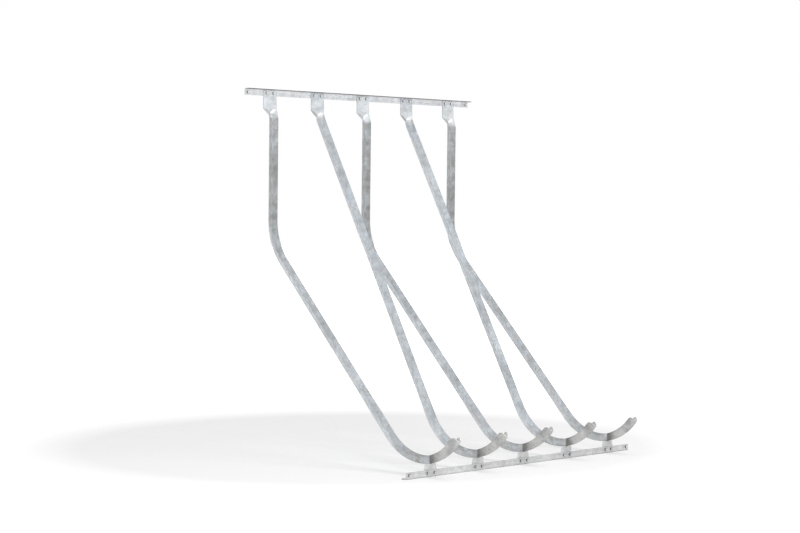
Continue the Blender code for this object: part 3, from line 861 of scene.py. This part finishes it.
def channel_tones(number, height, folded, side, inside, flat):
    """Shares of painted shade and painted light at a point of a channel."""
    upright = number % 2
    painted_shade = between(CRADLE_PAINTED_SHADE, height)
    painted_light = between(CRADLE_PAINTED_LIGHT, height)
    if upright:
        factor = between(UPRIGHT_INSIDE, flat) if inside else UPRIGHT_OUTSIDE
        painted_shade = max(painted_shade, between(UPRIGHT_PAINTED_SHADE, height) * factor)
        if inside and height < LOW_INSIDE_TOP:
            painted_shade = max(painted_shade, LOW_INSIDE_PAINTED_SHADE)
    if not inside and height < OUTSIDE_PAINTED_LIGHT_TOP[upright]:
        painted_light += OUTSIDE_PAINTED_LIGHT
    if inside and side < 0:
        off = abs(flat - SHADE_START + FOLD_DRIFT * folded)
        painted_shade = max(painted_shade, between(FOLD_PAINTED_SHADE, folded) * between(SHADE_FADE, off))
    if inside and side > 0:
        off = abs(flat - STREAK_START + FOLD_DRIFT * folded)
        reach = between(STREAK_REACH[upright], flat)
        painted_light = between(FOLD_PAINTED_STREAKS[upright], folded) * between(STREAK_FADE, off) * reach
        if not upright and flat > RIM_START:
            painted_shade = max(painted_shade, between(FOLD_PAINTED_RIM, folded))
    if upright:
        painted_light += between(TAB_PAINTED_LIGHT, height)
    else:
        painted_shade = max(painted_shade, between(TAB_PAINTED_SHADE, height))
    return painted_shade, painted_light


def channel_marks(number, stations, weights):
    """Weights of a channel's vertices."""
    marks = {"edge": [], "painted_shade": [], "painted_light": []}
    for (point, _, folded, _), weight in zip(stations, weights):
        marks["edge"] += weight
        for part in outline_parts():
            painted_shade, painted_light = channel_tones(number, point.y, folded, *part)
            marks["painted_shade"].append(painted_shade)
            marks["painted_light"].append(painted_light)
    return marks


def hook_marks(stations, weights):
    """Weights of a hook's vertices. The first station follows the seam, so its distance from it is 0."""
    marks = {"edge": [], "painted_shade": [], "painted_light": []}
    outline, _ = section_outline()
    for (_, angle, *_), weight in zip(stations, weights):
        marks["edge"] += weight
        for (_, deep), (side, inside, _) in zip(outline, outline_parts()):
            distance = (angle - seam_angle(deep, SEAM_SHIFT)) * (HOOK_RADIUS - deep)
            distance = 0.0 if angle == SEAM_ANGLE else distance
            marks["painted_shade"].append(between(HOOK_PAINTED_SHADE, distance))
            marks["painted_light"].append(between(HOOK_PAINTED_LIGHT, distance) if inside and side > 0 else 0.0)
    return marks


def mark_cut_face(piece, outline):
    """Give a hook's end, the vertices along the cut's outline, painted light instead of painted shade and
    edge.
    """
    layers = piece.data.attributes
    for k, vertex in enumerate(piece.data.vertices):
        place = Vector(vertex.co.yz)
        for start, end in zip(outline, outline[1:]):
            run = end - start
            share = max(0.0, min(1.0, (place - start).dot(run) / run.length_squared))
            if (place - start - run * share).length < EDGE_RADIUS / 2:
                layers["edge"].data[k].value = 0.0
                layers["painted_shade"].data[k].value = 0.0
                layers["painted_light"].data[k].value = CUT_PAINTED_LIGHT


# Cutting

def cutter_from(bm):
    """Turn a bmesh into an object that a boolean subtracts."""
    bmesh.ops.recalc_face_normals(bm, faces=bm.faces)
    return new_object("cutter", bm)


def drills(axis, places, start=-DRILL_REACH, end=DRILL_REACH):
    """A cutter with a round drill at each place, from start to end along an axis."""
    bm = bmesh.new()
    points = circle(HOLE_RADIUS, HOLE_STEPS)
    for place in places:
        rings = []
        for depth in (start, end):
            ring = [(a, depth, b) if axis == "Y" else (a, b, depth) for a, b in points]
            rings.append([place + Vector(point) for point in ring])
        add_capped(bm, rings)
    return cutter_from(bm)


def cut(piece, cutters, edge=0.0):
    """Subtract cutters from a piece. With edge, its sharp edges are softened by that width."""
    boolean = {"operation": "DIFFERENCE", "solver": "EXACT"}
    steps = [("BOOLEAN", {**boolean, "object": cutter}) for cutter in cutters]
    if edge:
        bevel = {
            "width": edge,
            "segments": 2,
            "limit_method": "ANGLE",
            "angle_limit": SOFT_EDGE_ANGLE,
            "use_clamp_overlap": False,
        }
        steps += [("WELD", {"merge_threshold": edge / 2}), ("BEVEL", bevel)]
    rebuild(piece, steps)
    for cutter in cutters:
        bpy.data.objects.remove(cutter)


# Sheet pieces

def add_channel(number):
    """A long channel with its flat tab and the two holes in it."""
    x = channel_x(number)
    stations = channel_stations(with_rows(upright_path() if number % 2 else straight_path()))
    rings, weights = sheet_rings(x, stations)
    rings[-1] = seam_ring(x, 0.0)
    piece = add_piece(f"channel_sheet_{number}", sheet_bmesh(rings), channel_zinc,
                      [f"channel_{number}"], channel_marks(number, stations, weights))
    places = [Vector((x + side * HOLE_HALF_PITCH, 0, WALL_HOLE_Z)) for side in (-1, 1)]
    cut(piece, [drills("Y", places, TAB_FRONT - DRILL_REACH, 0.0)])


def add_hook(number):
    """The front end of a cradle, cut at its tip."""
    x = channel_x(number)
    stations = hook_stations()
    rings, weights = sheet_rings(x, stations)
    rings[0] = seam_ring(x, SEAM_SHIFT)
    piece = add_piece(f"hook_sheet_{number}", sheet_bmesh(rings), hook_zinc,
                      [f"cradle_hook_{number}"], hook_marks(stations, weights))
    outline = hook_cut_outline()
    cutter = extruded(outline, x - MOUTH_WIDTH, x + MOUTH_WIDTH, lambda y, z, x: (x, y, z))
    cut(piece, [cutter_from(cutter)], EDGE_RADIUS)
    mark_cut_face(piece, outline[:-2])


def rail_outline():
    """The angle section with its outer corner at (0, 0)."""
    outer = RAIL_INNER_RADIUS + RAIL_SHEET
    turns = [QUARTER * k / CORNER_STEPS for k in range(CORNER_STEPS + 1)]
    near = RAIL_LEG - RAIL_EDGE
    outline = [(near, 0), (RAIL_LEG, 0), (RAIL_LEG, RAIL_SHEET), (near, RAIL_SHEET)]
    for turn in turns:
        across = outer - RAIL_INNER_RADIUS * math.sin(turn)
        outline.append((across, outer - RAIL_INNER_RADIUS * math.cos(turn)))
    outline += [(RAIL_SHEET, near), (RAIL_SHEET, RAIL_LEG), (0, RAIL_LEG), (0, near)]
    for turn in reversed(turns):
        outline.append((outer - outer * math.sin(turn), outer - outer * math.cos(turn)))
    return outline


def bolt_x():
    """X of every bolt."""
    xs = [-END_HOLE_X, END_HOLE_X]
    for number in CHANNELS:
        xs += [channel_x(number) - HOLE_HALF_PITCH, channel_x(number) + HOLE_HALF_PITCH]
    return xs


def add_rails():
    """The two rails, drilled and with softened edges.

    The marks run over four rings: one end, the rows near both ends and the other end. The tips of both
    rails carry painted shade, and so does the wall rail's front edge.
    """
    half = RAIL_LENGTH / 2
    near_ends = (RAIL_END_ROW - half, half - RAIL_END_ROW)
    hole_xs = bolt_x() + list(ANCHOR_X)
    outline = rail_outline()
    edge = [float(max(corner) == RAIL_LEG) for corner in outline] * 4
    front = [float(a == RAIL_LEG) for a, _ in outline]
    tip = [float(a > 2 * RAIL_SHEET) for a, _ in outline]
    plain = [0.0] * len(outline)

    bm = extruded(outline, -half, half, lambda a, b, x: (x, -a, WALL_RAIL_TOP - b), near_ends)
    marks = {"edge": edge, "painted_shade": tip + front * 2 + tip}
    wall = add_piece("wall_rail_angle", bm, rail_zinc, ["wall_rail"], marks)
    cut(wall, [drills("Y", [Vector((x, 0, WALL_HOLE_Z)) for x in hole_xs])], SOFT_EDGE)

    bm = extruded(outline, -half, half, lambda a, b, x: (x, FLOOR_RAIL_FRONT + a, b), near_ends)
    marks = {"edge": edge, "painted_shade": tip + plain * 2 + tip}
    floor = add_piece("floor_rail_angle", bm, floor_zinc, ["floor_rail"], marks)
    level = drills("Y", [Vector((x, FLOOR_RAIL_FRONT, HOLE_INSET)) for x in hole_xs])
    upright = drills("Z", [Vector((x, FLOOR_RAIL_FRONT + HOLE_INSET, 0)) for x in ANCHOR_X])
    cut(floor, [level, upright], SOFT_EDGE)


def web_height(y):
    """Z of the cradle's underside in front of its lowest point."""
    reach = y - LOW_POINT.x
    return LOW_POINT.y + HOOK_RADIUS - math.sqrt(HOOK_RADIUS ** 2 - reach ** 2)


def add_foot(number):
    """A foot tab, drilled and with softened edges."""
    x = channel_x(number)
    top = web_height(FOOT_BACK) - GAP
    low, high = FOOT_BOTTOM_WIDTH / 2, FOOT_TOP_WIDTH / 2
    outline = [(x - low, FOOT_BOTTOM), (x + low, FOOT_BOTTOM), (x + high, top), (x - high, top)]
    bm = extruded(outline, FOOT_FRONT, FOOT_BACK, lambda a, b, y: (a, y, b))
    piece = add_piece(f"foot_plate_{number}", bm, foot_zinc, [f"foot_tab_{number}"])
    places = [Vector((x + side * HOLE_HALF_PITCH, FOOT_FRONT, HOLE_INSET)) for side in (-1, 1)]
    cut(piece, [drills("Y", places)], SOFT_EDGE)


# Welds

def add_seam_weld(number):
    """The rippled bead around the butt joint between a channel and its hook."""
    x = channel_x(number)
    outline, _ = section_outline()
    fine = []
    for a, b in zip(outline, outline[1:] + outline[:1]):
        count = max(1, math.ceil((b - a).length / SEAM_WELD_SPACING))
        fine += [a.lerp(b, k / count) for k in range(count)]
    along = heading(SEAM_ANGLE - SEAM_LEAN)
    deep = inward(SEAM_ANGLE - SEAM_LEAN)
    rings = []
    for k, here in enumerate(fine):
        side = (fine[(k + 1) % len(fine)] - fine[k - 1]).normalized()
        out = Vector((side.y, -side.x))
        place = seam_point(x, here.x, here.y, SEAM_SHIFT / 2)
        normal = Vector((out.x, *(deep * out.y)))
        ripple = 0.5 + 0.5 * math.sin(2 * math.pi * k / SEAM_WELD_WAVE)
        crest = SEAM_WELD_HOLLOW + (1 - SEAM_WELD_HOLLOW) * ripple
        size = 1.0 + SEAM_WELD_WANDER * noise.noise(place * SEAM_WELD_GRAIN)
        ring = []
        for step in range(SEAM_WELD_STEPS + 1):
            turn = math.pi * step / SEAM_WELD_STEPS
            run = along * (SEAM_WELD_HALF_WIDTH * size * math.cos(turn))
            high = SEAM_WELD_HEIGHT * size * math.sin(turn) * crest - SEAM_WELD_SINK
            ring.append(place + Vector((0, run.x, run.y)) + normal * high)
        ring.append(place - normal * SEAM_WELD_ROOT)
        rings.append(ring)
    bm = bmesh.new()
    add_loops(bm, rings, closed=True)
    add_piece(f"seam_weld_{number}", bm, weld_zinc)


def foot_weld_size(number, y, k, across):
    """Size of a foot tab's bead in row k: rippled, uneven and smaller towards both ends."""
    ripple = FOOT_WELD_RIPPLE * math.sin(2 * math.pi * k / FOOT_WELD_WAVE)
    wander = FOOT_WELD_WANDER * noise.noise(Vector((across * FOOT_WELD_GRAIN, number, y)))
    taper = FOOT_WELD_END_SIZE + FOOT_WELD_END_GROWTH * min(k, FOOT_WELD_ROWS - k) / FOOT_WELD_ROWS
    return FOOT_WELD_SIZE * (1 + ripple + wander) * min(1.0, taper)


def add_foot_weld(number):
    """Fillet beads between a foot tab's top edge and the web above it, front and back."""
    x = channel_x(number)
    root_out, root_up = FOOT_WELD_ROOT
    for word, y, side in (("front", FOOT_FRONT, -1), ("back", FOOT_BACK, 1)):
        rings = []
        for k in range(FOOT_WELD_ROWS + 1):
            across = -FOOT_WELD_LENGTH / 2 + FOOT_WELD_LENGTH * k / FOOT_WELD_ROWS
            size = foot_weld_size(number, y, k, across)
            corner = Vector((x + across, y, web_height(y) - GAP))
            ring = [corner + Vector((0, -side * root_out, root_up))]
            for step in range(FOOT_WELD_STEPS + 1):
                turn = QUARTER * step / FOOT_WELD_STEPS
                out = side * size * math.sin(turn) * FOOT_WELD_SWELL
                up = FOOT_WELD_RISE - size * math.cos(turn) * FOOT_WELD_SWELL
                ring.append(corner + Vector((0, out, up)))
            rings.append(ring)
        bm = bmesh.new()
        add_capped(bm, rings)
        add_piece(f"foot_weld_{word}_{number}", bm, weld_zinc)


# Fasteners

def hexagon_radius(turn):
    """Distance from a hexagon's middle to its side in a direction, with corners along X."""
    sixth = math.pi / 3
    return HEX_HALF_WIDTH / math.cos((turn % sixth) - sixth / 2)


def hexagon_ring(y, inner=0.0, drop=0.0):
    """A hexagon ring around Y. With drop, the ring falls back at that slope beyond the radius inner."""
    ring = []
    for k in range(RING_STEPS):
        turn = 2 * math.pi * k / RING_STEPS
        radius = hexagon_radius(turn)
        fall = max(0.0, radius - inner) * drop
        ring.append((radius * math.cos(turn), y + fall, radius * math.sin(turn)))
    return ring


def round_ring(y, radius):
    """A round ring around Y."""
    return [(a, y, b) for a, b in circle(radius, RING_STEPS)]


def thread_rings(start, end, radius):
    """Rings around Y whose radius follows a screw thread."""
    rings = []
    count = math.ceil((end - start) / (THREAD_PITCH / THREAD_STEPS))
    for j in range(count + 1):
        y = start + (end - start) * j / count
        ring = []
        for k in range(RING_STEPS):
            phase = (y / THREAD_PITCH + k / RING_STEPS) % 1.0
            depth = THREAD_DEPTH * abs(2 * phase - 1)
            near_end = max(0.0, THREAD_TIP - (end - y))
            r = radius - max(depth, near_end)
            turn = 2 * math.pi * k / RING_STEPS
            ring.append((r * math.cos(turn), y, r * math.sin(turn)))
        rings.append(ring)
    return rings


def moved(rings, x, y, z):
    """Rings shifted to a place."""
    return [[Vector((a + x, b + y, c + z)) for a, b, c in ring] for ring in rings]


def add_bolt(name, x, y, z, length, face_shade=0.0):
    """A hexagon bolt along +Y with its head's underside at y, with painted shade on its face rim, sides,
    seat and shank, and on a foot bolt's face.
    """
    profile = [
        (round_ring(-HEAD_HEIGHT + DISH_DEPTH, DISH_FLOOR_RADIUS), face_shade),
        (round_ring(-HEAD_HEIGHT, DISH_RIM_RADIUS), face_shade),
        (round_ring(-HEAD_HEIGHT, HEAD_FACE_RADIUS), max(face_shade, FACE_RIM_PAINTED_SHADE)),
        (hexagon_ring(-HEAD_HEIGHT, HEAD_FACE_RADIUS, HEX_CHAMFER_SLOPE), SIDE_PAINTED_SHADE),
        (hexagon_ring(-SEAT_HEIGHT), SIDE_PAINTED_SHADE),
        (round_ring(-SEAT_HEIGHT, SEAT_TOP_RADIUS), SIDE_PAINTED_SHADE),
        (round_ring(0.0, SEAT_RADIUS), SEAT_PAINTED_SHADE),
        (round_ring(0.0, BOLT_RADIUS), SHANK_PAINTED_SHADE),
    ]
    threads = thread_rings(min(THREAD_START, length / 2), length, BOLT_RADIUS)
    profile += [(ring, SHANK_PAINTED_SHADE) for ring in threads]
    painted_shade = [tone for ring, tone in profile for _ in ring]
    bm = bmesh.new()
    add_capped(bm, moved([ring for ring, _ in profile], x, y, z))
    add_piece(name + "_fine", bm, bolt_zinc, [name], {"painted_shade": painted_shade})


def add_nut(name, x, y, z):
    """A hexagon nut along +Y with its front face at y."""
    rings = [
        round_ring(0.0, NUT_BORE_RADIUS + NUT_BORE_CHAMFER),
        round_ring(0.0, NUT_FACE_RADIUS),
        hexagon_ring(0.0, NUT_FACE_RADIUS, HEX_CHAMFER_SLOPE),
        hexagon_ring(NUT_HEIGHT, NUT_FACE_RADIUS, -HEX_CHAMFER_SLOPE),
        round_ring(NUT_HEIGHT, NUT_FACE_RADIUS),
        round_ring(NUT_HEIGHT, NUT_BORE_RADIUS + NUT_BORE_CHAMFER),
        round_ring(NUT_HEIGHT - NUT_BORE_CHAMFER, NUT_BORE_RADIUS),
        round_ring(NUT_BORE_CHAMFER, NUT_BORE_RADIUS),
    ]
    bm = bmesh.new()
    add_loops(bm, moved(rings, x, y, z), closed=True)
    add_piece(name + "_fine", bm, bolt_zinc, [name])


def add_fasteners():
    """Every bolt and nut."""
    tab_head = TAB_FRONT - GAP
    floor_head = FLOOR_RAIL_FRONT - GAP
    for number in CHANNELS:
        for side, letter in ((-1, "a"), (1, "b")):
            x = channel_x(number) + side * HOLE_HALF_PITCH
            add_bolt(f"wall_bolt_{number}{letter}", x, tab_head, WALL_HOLE_Z, -GAP - tab_head)
            add_bolt(f"foot_bolt_{number}{letter}", x, floor_head, HOLE_INSET, BOLT_LENGTH, FOOT_BOLT_PAINTED_SHADE)
            add_nut(f"foot_nut_{number}{letter}", x, FOOT_BACK + GAP, HOLE_INSET)
    for side, word in ((-1, "left"), (1, "right")):
        x = side * END_HOLE_X
        add_bolt(f"wall_end_bolt_{word}", x, TAB_BACK, WALL_HOLE_Z, -GAP - TAB_BACK)
        add_bolt(f"floor_end_bolt_{word}", x, floor_head, HOLE_INSET, BOLT_LENGTH)
        add_nut(f"floor_end_nut_{word}", x, FLOOR_RAIL_FRONT + RAIL_SHEET + GAP, HOLE_INSET)


# Studio

def seen_directly(tree):
    """One for camera, glossy and transmission rays, and zero for the rest."""
    path = node(tree, "ShaderNodeLightPath").outputs
    rays = (path["Is Camera Ray"], path["Is Glossy Ray"], path["Is Transmission Ray"])
    return maths(tree, "MAXIMUM", *rays)


def add_world():
    """White where it is seen and softer where it lights."""
    world = bpy.data.worlds.new("studio")
    bpy.context.scene.world = world
    world.use_nodes = True
    tree = world.node_tree
    background = tree.nodes["Background"].inputs
    background["Color"].default_value = WHITE
    tree.links.new(spread(tree, seen_directly(tree), WORLD_STRENGTH, 1.0), background["Strength"])


def floor_paint():
    """A pale matt tone that glows away from the rack, so that it looks white where no shadow falls."""
    material = bpy.data.materials.new("floor_paint")
    material.use_nodes = True
    tree = material.node_tree
    tree.nodes.remove(tree.nodes["Principled BSDF"])
    matt = node(tree, "ShaderNodeBsdfDiffuse", {"Color": FLOOR_COLOUR})
    place = node(tree, "ShaderNodeTexCoord").outputs["Object"]
    away = node(tree, "ShaderNodeVectorMath", {0: place}, operation="LENGTH").outputs["Value"]
    level = spread(tree, away, *FLOOR_GLOW, *FLOOR_GLOW_REACH)
    strength = maths(tree, "MULTIPLY", seen_directly(tree), level)
    glow = node(tree, "ShaderNodeEmission", {"Color": WHITE, "Strength": strength})
    both = node(tree, "ShaderNodeAddShader", {0: matt.outputs[0], 1: glow.outputs[0]})
    tree.links.new(both.outputs[0], tree.nodes["Material Output"].inputs["Surface"])
    return material


def add_floor():
    """A wide floor just under the rack."""
    bm = bmesh.new()
    reach = FLOOR_HALF_WIDTH
    corners = ((-reach, -reach), (reach, -reach), (reach, reach), (-reach, reach))
    bm.faces.new([bm.verts.new((*corner, FLOOR_HEIGHT)) for corner in corners])
    new_object("floor", bm, floor_paint())


def add_lamp(name, place, target, size, power):
    """A large soft area lamp."""
    lamp = bpy.data.lights.new(name, "AREA")
    lamp.size = size
    lamp.energy = power
    holder = bpy.data.objects.new(name, lamp)
    holder.location = place
    holder.rotation_euler = (Vector(target) - Vector(place)).to_track_quat("-Z", "Y").to_euler()
    bpy.context.scene.collection.objects.link(holder)


def add_camera():
    """The photograph's view."""
    data = bpy.data.cameras.new("camera")
    data.sensor_width = CAMERA_SENSOR
    data.lens = CAMERA_LENS
    camera = bpy.data.objects.new("camera", data)
    camera.location = CAMERA_PLACE
    camera.rotation_euler = CAMERA_TURN
    bpy.context.scene.collection.objects.link(camera)
    bpy.context.scene.camera = camera


for number in CHANNELS:
    add_channel(number)
    add_hook(number)
add_rails()
for number in CHANNELS:
    add_foot(number)
for number in CHANNELS:
    add_seam_weld(number)
    add_foot_weld(number)
add_fasteners()
add_world()
add_floor()
for lamp in LAMPS:
    add_lamp(*lamp)
add_camera()
bpy.context.scene.view_settings.view_transform = "Standard"
